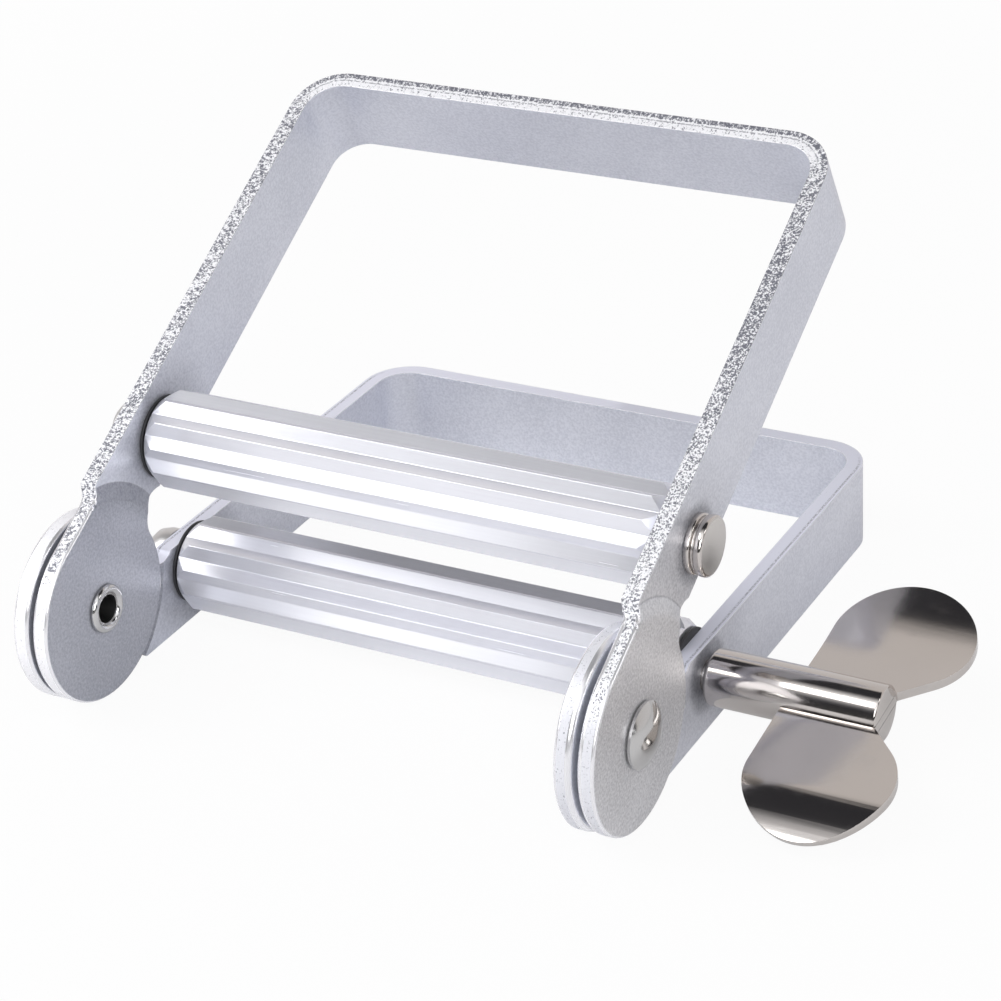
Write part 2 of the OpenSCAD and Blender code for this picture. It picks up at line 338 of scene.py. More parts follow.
@dataclass(frozen=True)
class BlastedAluminium(Finish):
    """Bead-blasted and anodised faces of the strip.

    Places and reaches are in mm, as seen along the hinge. Of the pairs named share or
    relief, the first holds for plain metal and the second is added where it is worn. The
    shaded colour is painted shade: a thin line in the step's crease on the right, and the
    dish inside the left-hand lobes, whose second value is added towards the crease. It is
    also painted near the pins, as shade and as a dark ring of contact shade close round
    them. Of the shade near the pins, near_pin_left is the share that only the left has.
    """

    grain_cells: float = 3.6
    grain_share: float = 0.75
    cloud_cells: float = 0.12
    tones: Span = (0.3, 0.7)
    black_share: Span = (0.15, 0.3)
    white: Colour = (0.97, 0.97, 0.97)
    white_share: Span = (0.2, 0.35)
    relief: Span = (0.7, 0.8)
    depth_mm: float = 0.02
    rough_swing: float = 0.12
    worn: Colour = (0.78, 0.75, 0.715)
    worn_from: Span = (20.0, 26.0)
    worn_reach: Span = (12.0, 27.0)
    hinge_yz: Span = (-26.8, 10.55)
    pins_yz: Sequence[Span] = ((-8.4, 6.1), (-12.86, 23.36))
    shaded: Colour = (0.27, 0.28, 0.33)
    most_shade: float = 0.88
    near_pin_reach: Span = (4.0, 10.0)
    near_pin_left: float = 0.7
    near_pin_shade: float = 0.6
    contact_shade_reach: Span = (3.0, 4.6)
    contact_shade_share: float = 0.75
    crease_r: float = 12.8
    crease_begins: float = 0.16
    crease_ends: float = 0.18
    crease_shade: float = 0.5
    dish_from: float = 8.5
    dish_shade: Span = (0.66, 0.22)

    def paint(self, graph: Graph) -> dict[str, Value]:
        """Grain, slow changes of tone, warmer worn metal, and painted shade in the crease,
        inside the left-hand lobes and round the pins.

        Args:
            graph: the material's nodes.

        Returns:
            The varying inputs, by the shader's socket.
        """
        where = graph.place()
        grain = graph.noise(where, self.grain_cells, 2.0, 0.6)
        cloud = graph.noise(where, self.cloud_cells, 2.0)
        tone = (grain * self.grain_share
                + cloud * (1.0 - self.grain_share)).rise(*self.tones)
        x, y, z = graph.parts(where)
        reach = self.away(graph, y, z, self.hinge_yz)
        pins = [self.away(graph, y, z, pin) for pin in self.pins_yz]
        nearest = pins[0].least(pins[1])
        worn = x.rise(*self.worn_from) * (1.0 - reach.rise(*self.worn_reach))
        plain = graph.mix(worn, self.colour, self.worn)
        # Painted shade near the pins, mostly on the left-hand legs.
        near_pin = ((1.0 - nearest.rise(*self.near_pin_reach))
                    * (1.0 - self.near_pin_left * x.rise(*LEFT_TO_RIGHT)))
        # Painted contact shade: a dark ring close round the pins, at the upper pin's head and
        # the key's barrel.
        contact_shade = 1.0 - nearest.rise(*self.contact_shade_reach)
        shade = (self.shade(x, reach) + self.near_pin_shade * near_pin
                 + self.contact_shade_share * contact_shade)
        plain = graph.mix(shade.least(self.most_shade), plain, self.shaded)
        dark = graph.mix(self.black_share[0] + self.black_share[1] * worn, plain,
                         (0.0, 0.0, 0.0))
        light = graph.mix(self.white_share[0] + self.white_share[1] * worn, plain,
                          self.white)
        height = grain * (self.relief[0] + self.relief[1] * worn)
        return {"Base Color": graph.mix(tone, dark, light),
                "Roughness": self.roughness - self.rough_swing / 2
                + self.rough_swing * grain,
                "Normal": graph.bump(height, self.depth_mm)}

    @staticmethod
    def away(graph: Graph, y: Sock, z: Sock, axis: Span) -> Sock:
        """Distance from an axis along X.

        Args:
            graph: the material's nodes.
            y: the point's y, in mm.
            z: the point's z, in mm.
            axis: the axis's y and z, in mm.

        Returns:
            The distance in mm.
        """
        y, z = y - axis[0], z - axis[1]
        return graph.out(graph.node("ShaderNodeMath", {"operation": "SQRT"},
                                    {0: y * y + z * z}))

    def shade(self, x: Sock, reach: Sock) -> Sock:
        """Painted shade: a thin line in the step's crease on the right, and the inside of the
        left-hand lobes.

        Args:
            x: the point's x, in mm.
            reach: its distance from the hinge, in mm.

        Returns:
            The share of the shaded colour.
        """
        right = x.rise(*LEFT_TO_RIGHT)
        outside = reach.rise(self.crease_r, self.crease_r + self.crease_ends)
        line = reach.rise(self.crease_r - self.crease_begins, self.crease_r) * (1.0 - outside)
        deeper = reach.rise(self.dish_from, self.crease_r)
        dish = (self.dish_shade[0] + self.dish_shade[1] * deeper) * (1.0 - outside)
        return self.crease_shade * right * line + (1.0 - right) * dish


@dataclass(frozen=True)
class CutEdge(Finish):
    """Sheared edge of the strip. It reads where it lies along and across the strip.

    The attribute holds the length along the strip from the middle of its end bar, with
    plus on the key's side, and the depth into its thickness, both in millimetres, and how
    coarse the cut is: 1 on the torn front edge, from 0.5 round the lobes and 0 on the
    smooth rear edge. Values named dense bring dark pits and those named sparse take them
    away. Of a pair named share, the second is added where the cut is finer or calmer.
    """

    speck: Colour = (0.10, 0.105, 0.14)
    speck_share: Span = (0.92, -0.3)
    smooth: Colour = (0.80, 0.81, 0.91)
    smooth_from: Span = (0.5, 0.9)
    lobe_shade: Colour = (0.48, 0.50, 0.58)
    lobe_shade_share: float = 0.35
    cells: float = 3.8
    cells_across: float = 0.6
    fine_cells: float = 5.4
    fine_share: Span = (0.36, 0.34)
    depth_mm: float = 0.04
    calm_relief: float = 0.75
    rough_fine: float = 0.12
    rough_calm: float = 0.1
    pits: Span = (0.41, 0.525)
    leg_from: Span = (29.0, 33.0)
    key_leg_from: Span = (25.0, 45.0)
    key_leg_end: Span = (50.0, 75.0)
    lobe_coarse: Span = (0.5, 0.9)
    dense_legs: float = 0.045
    dense_key_leg: float = 0.025
    dense_outside: float = 0.12
    outside_from: Span = (1.05, 1.25)
    outside_less: float = 0.3
    sparse: float = 0.015
    sparse_key_end: float = 0.05
    sparse_left_lobes: float = 0.05
    sparse_calm: float = 0.19
    seam: tuple[Span, Span] = ((1.22, 1.36), (1.5, 1.58))
    seam_calm: Span = (0.6, 0.9)
    seam_breaks: Span = (0.46, 0.56)
    line: tuple[Span, Span] = ((0.72, 0.8), (0.88, 0.96))
    line_share: float = 0.7
    line_breaks: Span = (0.5, 0.62)

    def paint(self, graph: Graph) -> dict[str, Value]:
        """Torn marks across the thickness, with dark pits between the bright facets.

        Args:
            graph: the material's nodes.

        Returns:
            The varying inputs, by the shader's socket.
        """
        along, across, coarse = graph.attribute(STRIP_PLACE)
        key_leg = along.rise(*self.key_leg_from)
        on_lobe = 1.0 - coarse.rise(*self.lobe_coarse)
        torn = graph.noise(graph.vector(along, across * self.cells_across, coarse),
                           self.cells, 3.0, 0.62, 0.9)
        fine = graph.noise(graph.vector(along, across, coarse), self.fine_cells, 2.0, 0.6)
        finer = self.fine_share[0] + self.fine_share[1] * key_leg.most(on_lobe)
        height = torn * (1.0 - finer) + fine * finer
        calm = 1.0 - coarse.rise(0.0, 1.0)
        legs = along.most(0.0 - along).rise(*self.leg_from)
        right = along.rise(*LEFT_TO_RIGHT)
        outside = (1.0 - legs) * (across.rise(*self.outside_from) - self.outside_less)
        dense = (self.dense_legs * legs + self.dense_key_leg * key_leg - self.sparse
                 - self.sparse_key_end * along.rise(*self.key_leg_end)
                 - self.sparse_left_lobes * on_lobe * (1.0 - right)
                 + self.dense_outside * outside)
        pit = 1.0 - (height + self.sparse_calm * calm - dense).rise(*self.pits)
        seam = across.band(*self.seam) * calm.rise(*self.seam_calm)
        pit = pit.most(seam * legs * (1.0 - fine.rise(*self.seam_breaks)))
        line = across.band(*self.line) * (1.0 - legs)
        pit = pit.most(self.line_share * line * (1.0 - calm)
                       * (1.0 - fine.rise(*self.line_breaks)))
        plain = graph.mix(calm.rise(*self.smooth_from), self.colour, self.smooth)
        # Painted shade: the cut rims of the right-hand lobes are darkened and made bluer.
        plain = graph.mix(self.lobe_shade_share * on_lobe * right, plain, self.lobe_shade)
        dark = pit * (self.speck_share[0] + self.speck_share[1] * calm)
        return {"Base Color": graph.mix(dark, plain, self.speck),
                "Roughness": self.roughness + self.rough_fine * fine
                + self.rough_calm * calm,
                "Normal": graph.bump(height * (1.0 - self.calm_relief * calm),
                                     self.depth_mm)}


@dataclass(frozen=True)
class DrawnAluminium(Finish):
    """Smooth extruded aluminium with faint lines along the roller."""

    lines: Triple = (0.02, 1.0, 1.0)
    line_cells: float = 5.0
    line_share: float = 0.35
    cloud_cells: float = 0.08
    tones: Span = (0.3, 0.7)
    dark_share: float = 0.94
    rough_less: float = 0.01
    rough_swing: float = 0.03
    depth_mm: float = 0.00008

    def paint(self, graph: Graph) -> dict[str, Value]:
        """Faint lines along X, and slow changes of tone.

        Args:
            graph: the material's nodes.

        Returns:
            The varying inputs, by the shader's socket.
        """
        streak = graph.noise(graph.place(self.lines), self.line_cells, 1.0, 0.4)
        cloud = graph.noise(graph.place(), self.cloud_cells, 2.0)
        tone = (streak * self.line_share
                + cloud * (1.0 - self.line_share)).rise(*self.tones)
        dark = tuple(self.dark_share * c for c in self.colour)
        return {"Base Color": graph.mix(tone, dark, self.colour),
                "Roughness": self.roughness - self.rough_less + self.rough_swing * streak,
                "Normal": graph.bump(streak, self.depth_mm)}


@dataclass(frozen=True)
class NickelPlate(Finish):
    """Polished nickel plate: slightly uneven, with rubbed spots."""

    wave_cells: float = 0.14
    wave_mm: float = 0.016
    peel_cells: float = 1.6
    peel_mm: float = 0.0012
    rub_cells: float = 0.35
    rubbed: Span = (0.52, 0.72)
    rough_rubbed: float = 0.05
    pale: float = 1.06

    def paint(self, graph: Graph) -> dict[str, Value]:
        """Soft unevenness of the polish, and rougher spots where it is rubbed.

        Args:
            graph: the material's nodes.

        Returns:
            The varying inputs, by the shader's socket.
        """
        where = graph.place()
        wave = graph.noise(where, self.wave_cells, 1.0)
        peel = graph.noise(where, self.peel_cells, 2.0, 0.5)
        rubbed = graph.noise(where, self.rub_cells, 3.0, 0.6).rise(*self.rubbed)
        height = wave * self.wave_mm + peel * self.peel_mm
        pale = tuple(min(1.0, self.pale * c) for c in self.colour)
        return {"Base Color": graph.mix(wave, self.colour, pale),
                "Roughness": self.roughness + self.rough_rubbed * rubbed,
                "Normal": graph.bump(height, 1.0)}


@dataclass(frozen=True)
class MouldedNylon(Finish):
    """Black moulded washers."""

    grain_cells: float = 5.0
    grey: float = 1.8
    rough_swing: float = 0.1
    depth_mm: float = 0.004

    def paint(self, graph: Graph) -> dict[str, Value]:
        """A faint moulded grain.

        Args:
            graph: the material's nodes.

        Returns:
            The varying inputs, by the shader's socket.
        """
        grain = graph.noise(graph.place(), self.grain_cells, 2.0)
        grey = tuple(self.grey * c for c in self.colour)
        return {"Base Color": graph.mix(grain, self.colour, grey),
                "Roughness": self.roughness + self.rough_swing * grain,
                "Normal": graph.bump(grain, self.depth_mm)}


BLASTED = BlastedAluminium("blasted_aluminium", (0.765, 0.785, 0.87), 0.42, 0.55)
CUT = CutEdge("cut_strip_edge", (0.95, 0.95, 0.98), 0.36, 0.2)
RIM = DrawnAluminium("bright_strip_rim", (0.95, 0.95, 0.98), 0.22, 0.7)
ROLLER = DrawnAluminium("drawn_aluminium", (0.88, 0.885, 0.94), 0.26, 0.58)
NICKEL = NickelPlate("nickel_plate", (0.62, 0.585, 0.56), 0.10)
FACED = NickelPlate("faced_nickel", (0.68, 0.655, 0.63), 0.38)
RIVET = NickelPlate("rivet_nickel", (0.60, 0.595, 0.59), 0.13)
SATIN = NickelPlate("satin_nickel", (0.74, 0.73, 0.73), 0.4)
# Painted shade: the rivets' bores are darkened for the shade deep inside the hole.
SHADED_BORE = NickelPlate("painted_shade_bore", (0.20, 0.20, 0.20), 0.4)
NYLON = MouldedNylon("black_nylon", (0.02, 0.02, 0.022), 0.45, 0.0)


# ------------------------------------------------------------------------ mesh tools

@dataclass(frozen=True)
class Turn:
    """A point of a turned profile, in millimetres: along X, radius, and corner rounding."""

    x: float
    r: float
    rounding: float = 0.0


def turned(profile: Sequence[Turn], centre: Vector, ring: bool = False,
           steps: int = 128) -> BMesh:
    """Spins a profile about the X line through a point.

    Args:
        profile: the points, from one end to the other.
        centre: where the profile's x = 0 lies, in metres.
        ring: whether the profile closes on itself round a bore.
        steps: number of facets round the axis.

    Returns:
        The closed, rounded solid.
    """
    bm = bmesh.new()
    verts = [bm.verts.new((p.x * MM, 0.0, p.r * MM)) for p in profile]
    pairs = list(zip(verts, verts[1:])) + ([(verts[-1], verts[0])] if ring else [])
    edges = [bm.edges.new(pair) for pair in pairs]
    bmesh.ops.spin(bm, geom=verts + edges, cent=(0, 0, 0), axis=(1, 0, 0), angle=math.tau,
                   steps=steps, use_merge=True, use_normal_flip=False, use_duplicate=False)
    bmesh.ops.remove_doubles(bm, verts=bm.verts, dist=SAME_POINT)
    bmesh.ops.recalc_face_normals(bm, faces=bm.faces)
    for point in profile:
        if point.rounding > 0.0:
            round_edges(bm, [e for e in bm.edges if on_ring(e, point)],
                        point.rounding * MM, 3)
    bmesh.ops.translate(bm, verts=bm.verts, vec=centre)
    return bm


def on_ring(edge: BMEdge, point: Turn) -> bool:
    """Whether an edge lies on the ring that a profile point has drawn.

    Args:
        edge: the edge.
        point: the profile point.

    Returns:
        True if both its ends lie there.
    """
    return all(abs(v.co.x - point.x * MM) < SAME_POINT
               and abs(math.hypot(v.co.y, v.co.z) - point.r * MM) < ON_RING
               for v in edge.verts)


def round_edges(bm: BMesh, edges: Sequence[BMEdge], width: float, segments: int,
                clamp: bool = True) -> None:
    """Bevels some edges round, where there are any.

    Args:
        bm: the mesh.
        edges: the edges.
        width: the bevel's offset, in metres.
        segments: number of facets across the bevel.
        clamp: whether bevels are kept from running into each other.
    """
    if edges:
        bmesh.ops.bevel(bm, geom=list(edges), offset=width, offset_type="OFFSET",
                        segments=segments, profile=0.5, affect="EDGES",
                        clamp_overlap=clamp, material=-1)


def sharp_edges(bm: BMesh, least: float, most: float = 180.0) -> list[BMEdge]:
    """Finds edges by the angle that their two faces turn.

    Args:
        bm: the mesh.
        least: the angle that must be passed, in degrees.
        most: the largest angle, in degrees.

    Returns:
        The edges.
    """
    low, high = math.radians(least), math.radians(most)
    return [e for e in bm.edges
            if len(e.link_faces) == 2 and low < e.calc_face_angle(0.0) <= high]


def combined(first: BMesh, second: BMesh, operation: str) -> BMesh:
    """Boolean of two closed meshes; both are used up.

    Args:
        first: the mesh that is kept or cut.
        second: the other mesh.
        operation: INTERSECT, DIFFERENCE or UNION.

    Returns:
        The result.
    """
    objects = []
    for label, bm in (("first", first), ("second", second)):
        mesh = bpy.data.meshes.new(label)
        bm.to_mesh(mesh)
        bm.free()
        made = bpy.data.objects.new(label, mesh)
        bpy.context.scene.collection.objects.link(made)
        objects.append(made)
    cut = objects[0].modifiers.new("cut", "BOOLEAN")
    cut.operation, cut.solver, cut.object = operation, "EXACT", objects[1]
    graph = bpy.context.evaluated_depsgraph_get()
    result = bmesh.new()
    result.from_mesh(objects[0].evaluated_get(graph).to_mesh())
    for made in objects:
        mesh = made.data
        bpy.data.objects.remove(made)
        bpy.data.meshes.remove(mesh)
    bmesh.ops.remove_doubles(result, verts=result.verts, dist=SAME_POINT)
    return result


def cad_copy(node: str) -> BMesh:
    """Copies a CAD node's mesh, merged and with its flat faces whole again.

    Args:
        node: the node's name.

    Returns:
        The copy.
    """
    bm = bmesh.new()
    bm.from_mesh(frame["nodes"][node].data)
    bmesh.ops.remove_doubles(bm, verts=bm.verts, dist=SAME_CAD_POINT)
    bmesh.ops.dissolve_limit(bm, angle_limit=math.radians(FLAT_DEG), verts=bm.verts,
                             edges=bm.edges, use_dissolve_boundaries=False)
    return bm


def piece(bm: BMesh, name: str, body: str, finishes: Sequence[Finish],
          replaces: str, smooth_deg: float = 30.0) -> bpy.types.Object:
    """Turns a bmesh into a finished piece that rides on a body.

    Args:
        bm: the mesh, in metres in the row frame; it is used up.
        name: the piece's name.
        body: the CAD body that it rides on.
        finishes: the finishes, in the order of the faces' material numbers.
        replaces: the CAD node that it stands for.
        smooth_deg: edges that turn less than this are shaded smooth.

    Returns:
        The object.
    """
    mesh = bpy.data.meshes.new(name)
    bm.to_mesh(mesh)
    bm.free()
    mesh.shade_smooth()
    mesh.set_sharp_from_angle(angle=math.radians(smooth_deg))
    for finish in finishes:
        mesh.materials.append(finish.material())
    made = bpy.data.objects.new(name, mesh)
    bpy.context.scene.collection.objects.link(made)
    weigh = made.modifiers.new("weighted_normals", "WEIGHTED_NORMAL")
    weigh.keep_sharp = True
    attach(made, body)
    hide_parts(replaces)
    size = [round(s / MM, 1) for s in made.dimensions]
    log.info("%s: %d faces, %s mm, on %s", name, len(mesh.polygons), size, body)
    return made


# -------------------------------------------------------------------- sub-assemblies

@dataclass
class Layout:
    """Where the CAD puts the axes, in metres, and how far the squeezer is open."""

    hinge: Vector = field(default_factory=lambda: joint_place("frame_hinge"))
    upper_axis: Vector = field(default_factory=lambda: joint_place("upper_roller_spin"))
    key_axis: Vector = field(default_factory=lambda: joint_place("key_spin"))
    open_deg: float = 29.0


def joint_place(name: str) -> Vector:
    """A joint's point in the row frame."""
    return Vector(next(j["pos_m"] for j in frame["joints"] if j["name"] == name))


def on_axis(axis: Vector, x: float) -> Vector:
    """The point of an X-wise axis at x, in metres."""
    return Vector((x, axis.y, axis.z))


@dataclass
class StripFrame:
    """A frame bent from flat strip, with stepped round lobes on the hinge.

    Its own axes start at the hinge: X along it, Y along the legs to the end bar, Z across
    the strip. A pair of slot rims is for the left and the right lobe. Fields in deg are
    the angles between faces by which edges are found.
    """

    node: str
    body: str
    layout: Layout
    tilt_deg: float
    turned_over: bool
    shift: float
    inner_w: float = 58.2
    strip_t: float = 1.8
    bend_r: float = 3.6
    length: float = 63.4
    lobe_r: float = 9.8
    shoulder: float = 7.9
    lobe_edges_end: float = 1.0
    lobe_faces_end: float = 1.2
    lobe_coarse: float = 0.5
    coarser_from: float = -5.0
    coarser_over: float = 7.0
    shoulder_deg: Span = (25.0, 60.0)
    shoulder_edges: Span = (-1.5, 0.5)
    shoulder_top: float = 0.5
    shoulder_across: float = 1.2
    shoulder_soft: float = 0.9
    step_deg: Span = (9.0, 40.0)
    step_ring: Span = (10.4, 13.6)
    step_crease: float = 0.07
    step_soft: float = 0.55
    rim_deg: float = 42.0
    rim: float = 0.26
    lobe_rim_deg: float = 60.0
    lobe_rim: float = 0.3
    slot_rims: Span = (0.36, 0.6)
    least_edge: float = 0.004
    bend_step_deg: int = 15
    bend_slack: float = 0.01
    bend_faces_from: float = 1.0
    cut_normal: float = 0.985
    broad_normal: float = 0.9

    def build(self) -> bpy.types.Object:
        """Softens the steps, rounds the rims and dresses the strip.

        Returns:
            The frame's piece.
        """
        bm = cad_copy(self.node)
        self.soften(bm)
        self.round_rims(bm)
        self.part_at_bends(bm)
        least = self.least_edge * MM
        bmesh.ops.remove_doubles(bm, verts=bm.verts, dist=least)
        bmesh.ops.dissolve_degenerate(bm, edges=bm.edges, dist=least)
        self.dress(bm)
        return piece(bm, self.node + "_strip", self.body, [BLASTED, CUT, RIM],
                     self.node)

    def soften(self, bm: BMesh) -> None:
        """Creases and rounds the lobes' sideways steps, and rounds the shoulders.

        Args:
            bm: the frame's mesh.
        """
        step = [e for e in sharp_edges(bm, *self.step_deg) if self.in_step(e)]
        log.info("%s: %d edges in the steps, %d of them hollow", self.node, len(step),
                 sum(not e.is_convex for e in step))
        round_edges(bm, [e for e in step if not e.is_convex], self.step_crease * MM, 1)
        round_edges(bm, [e for e in sharp_edges(bm, *self.step_deg)
                         if e.is_convex and self.in_step(e)], self.step_soft * MM, 4)
        round_edges(bm, [e for e in sharp_edges(bm, *self.shoulder_deg)
                         if self.in_shoulder(e)], self.shoulder_soft * MM, 4)

    def round_rims(self, bm: BMesh) -> None:
        """Rounds the strip's rims, and the lobes' rims on each side of the slot.

        Args:
            bm: the frame's mesh.
        """
        rims = sharp_edges(bm, self.rim_deg)
        round_edges(bm, [e for e in rims if not self.on_lobe(e)], self.rim * MM, 3)
        for side, width in zip((-1.0, 1.0), self.slot_rims):
            for facing, rim in ((True, width), (False, self.lobe_rim)):
                round_edges(bm, [e for e in sharp_edges(bm, self.lobe_rim_deg)
                                 if self.on_lobe(e, side) and self.faces_slot(e) == facing],
                            rim * MM, 4, clamp=False)

    def part_at_bends(self, bm: BMesh) -> None:
        """Cuts the long faces where the bends begin and across them, for the finishes.

        Args:
            bm: the frame's mesh.
        """
        corner_x, corner_y = self.corner
        tilt = Matrix.Rotation(math.radians(self.tilt_deg), 3, "X")
        for side in (-1.0, 1.0):
            centre = Vector((side * corner_x + self.shift, corner_y, 0.0))
            for turn in range(0, 90 + 1, self.bend_step_deg):
                across = Vector((-side * math.sin(math.radians(turn)),
                                 math.cos(math.radians(turn)), 0.0))
                faces = [f for f in bm.faces if self.round_bend(f, side)]
                edges = dict.fromkeys(e for f in faces for e in f.edges)
                verts = dict.fromkeys(v for f in faces for v in f.verts)
                bmesh.ops.bisect_plane(bm, geom=[*verts, *edges, *faces], dist=ON_PLANE,
                                       plane_co=self.layout.hinge + tilt @ (centre * MM),
                                       plane_no=tilt @ across)

    def dress(self, bm: BMesh) -> None:
        """Gives each face its finish, and each corner its place on the strip.

        Args:
            bm: the frame's mesh.
        """
        places = bm.loops.layers.float_vector.new(STRIP_PLACE)
        for face in bm.faces:
            face.material_index = self.finish_of(face)
            middle = self.own(face.calc_center_median())
            on_lobe = middle.y < self.shoulder - self.lobe_faces_end
            for loop in face.loops:
                loop[places] = self.strip_place(self.own(loop.vert.co), on_lobe)

    @property
    def corner(self) -> Span:
        """Where a bend's centre lies: out from the middle, and along the leg."""
        return self.inner_w / 2 - self.bend_r, self.length - self.strip_t - self.bend_r

    def round_bend(self, face: BMFace, side: float) -> bool:
        """Whether a face reaches into a bend.

        Args:
            face: the face.
            side: -1 for the left bend, 1 for the right one.

        Returns:
            True if it does.
        """
        corner_x, corner_y = self.corner
        places = [self.own(vert.co) for vert in face.verts]
        return (max(at.x * side for at in places) > corner_x - self.bend_slack
                and max(at.y for at in places) > corner_y - self.bend_slack)

    def own(self, point: Vector) -> Vector:
        """Takes a point to the frame's own axes.

        Args:
            point: the point in the row frame, in metres.

        Returns:
            The point in mm, with the strip's front edge on plus Z.
        """
        offset = self.local(point - self.layout.hinge) / MM
        offset.x -= self.shift
        if self.turned_over:
            offset.z = -offset.z
        return offset

    def coarseness(self, at: Vector, on_lobe: bool) -> float:
        """How coarse the cut is: torn in front, finer round the lobes, smooth behind.

        Args:
            at: a point in the frame's own axes, in mm.
            on_lobe: whether it belongs to a face of the round lobes.

        Returns:
            1 on the front edge, falling to 0.5 round the lobes, and 0 on the rear edge.
        """
        if not on_lobe:
            return 1.0 if at.z > self.lobe_r / 2 else 0.0
        if at.z <= 0:
            return self.lobe_coarse
        coarser = (at.y - self.coarser_from) / self.coarser_over
        return self.lobe_coarse + min(max(coarser, 0.0), 1.0 - self.lobe_coarse)

    def strip_place(self, at: Vector, on_lobe: bool) -> Vector:
        """Length along the bent strip and depth from its inside face, with the coarseness.

        Args:
            at: a point in the frame's own axes, in mm.
            on_lobe: whether it belongs to a face of the round lobes.

        Returns:
            The two lengths in mm and the coarseness.
        """
        side = math.copysign(1.0, at.x)
        corner_x, corner_y = self.corner
        mid_r = self.bend_r + self.strip_t / 2
        half = corner_y + math.pi / 2 * mid_r + corner_x
        x = abs(at.x)
        if on_lobe:
            run, depth = math.atan2(at.z, -at.y) * self.lobe_r, x - self.inner_w / 2
            run -= math.pi * self.lobe_r
        elif at.y < corner_y:
            run, depth = at.y, x - self.inner_w / 2
        elif x < corner_x:
            run, depth = half - x, at.y - corner_y - self.bend_r
        else:
            turn = math.atan2(at.y - corner_y, x - corner_x)
            run = corner_y + turn * mid_r
            depth = math.hypot(at.y - corner_y, x - corner_x) - self.bend_r
        return Vector((side * (half - run), depth, self.coarseness(at, on_lobe)))

    def local(self, vector: Vector) -> Vector:
        """A direction in the frame's own axes, before it is turned over."""
        return Matrix.Rotation(math.radians(-self.tilt_deg), 3, "X") @ vector

    def middle(self, edge: BMEdge) -> Vector:
        """The middle of an edge, in the frame's own axes."""
        return self.own((edge.verts[0].co + edge.verts[1].co) / 2)

    def in_step(self, edge: BMEdge) -> bool:
        """Whether an edge belongs to the lobe's sideways step."""
        middle = self.middle(edge)
        return self.step_ring[0] < math.hypot(middle.y, middle.z) < self.step_ring[1]

    def on_lobe(self, edge: BMEdge, side: float = 0.0) -> bool:
        """Whether an edge belongs to a round lobe.

        Args:
            edge: the edge.
            side: -1 for the left lobe, 1 for the right one, 0 for either.

        Returns:
            True if it does.
        """
        middle = self.middle(edge)
        return (middle.y < self.shoulder - self.lobe_edges_end
                and (side == 0.0 or middle.x * side > 0.0))

    def faces_slot(self, edge: BMEdge) -> bool:
        """Whether a lobe's edge is on the side of the other frame's lobe.

        Args:
            edge: the edge.

        Returns:
            True if it borders on the slot between the two lobes.
        """
        x = self.middle(edge).x
        side = 1.0 if self.turned_over else -1.0
        return (x - math.copysign(self.inner_w / 2 + self.strip_t / 2, x)) * side > 0.0

    def in_shoulder(self, edge: BMEdge) -> bool:
        """Whether an edge crosses the strip where its front edge steps in to the lobe.

        Args:
            edge: the edge.

        Returns:
            True if it does.
        """
        middle = self.middle(edge)
        width = abs(edge.verts[0].co.x - edge.verts[1].co.x)
        low, high = (self.shoulder + past for past in self.shoulder_edges)
        return (width > self.shoulder_across * MM and low < middle.y < high
                and middle.z > self.lobe_r - self.shoulder_top)

    def finish_of(self, face: BMFace) -> int:
        """Which finish a face has.

        Args:
            face: the face.

        Returns:
            0 for the strip's broad faces, 1 for its cut edges and 2 for the rims.
        """
        normal = self.local(face.normal)
        along = self.own(face.calc_center_median()).y
        if along > self.corner[1] - self.bend_faces_from:
            across, broad = abs(normal.z), math.hypot(normal.x, normal.y)
        else:
            across, broad = math.hypot(normal.y, normal.z), abs(normal.x)
        if across > self.cut_normal:
            return 1
        return 0 if broad > self.broad_normal else 2


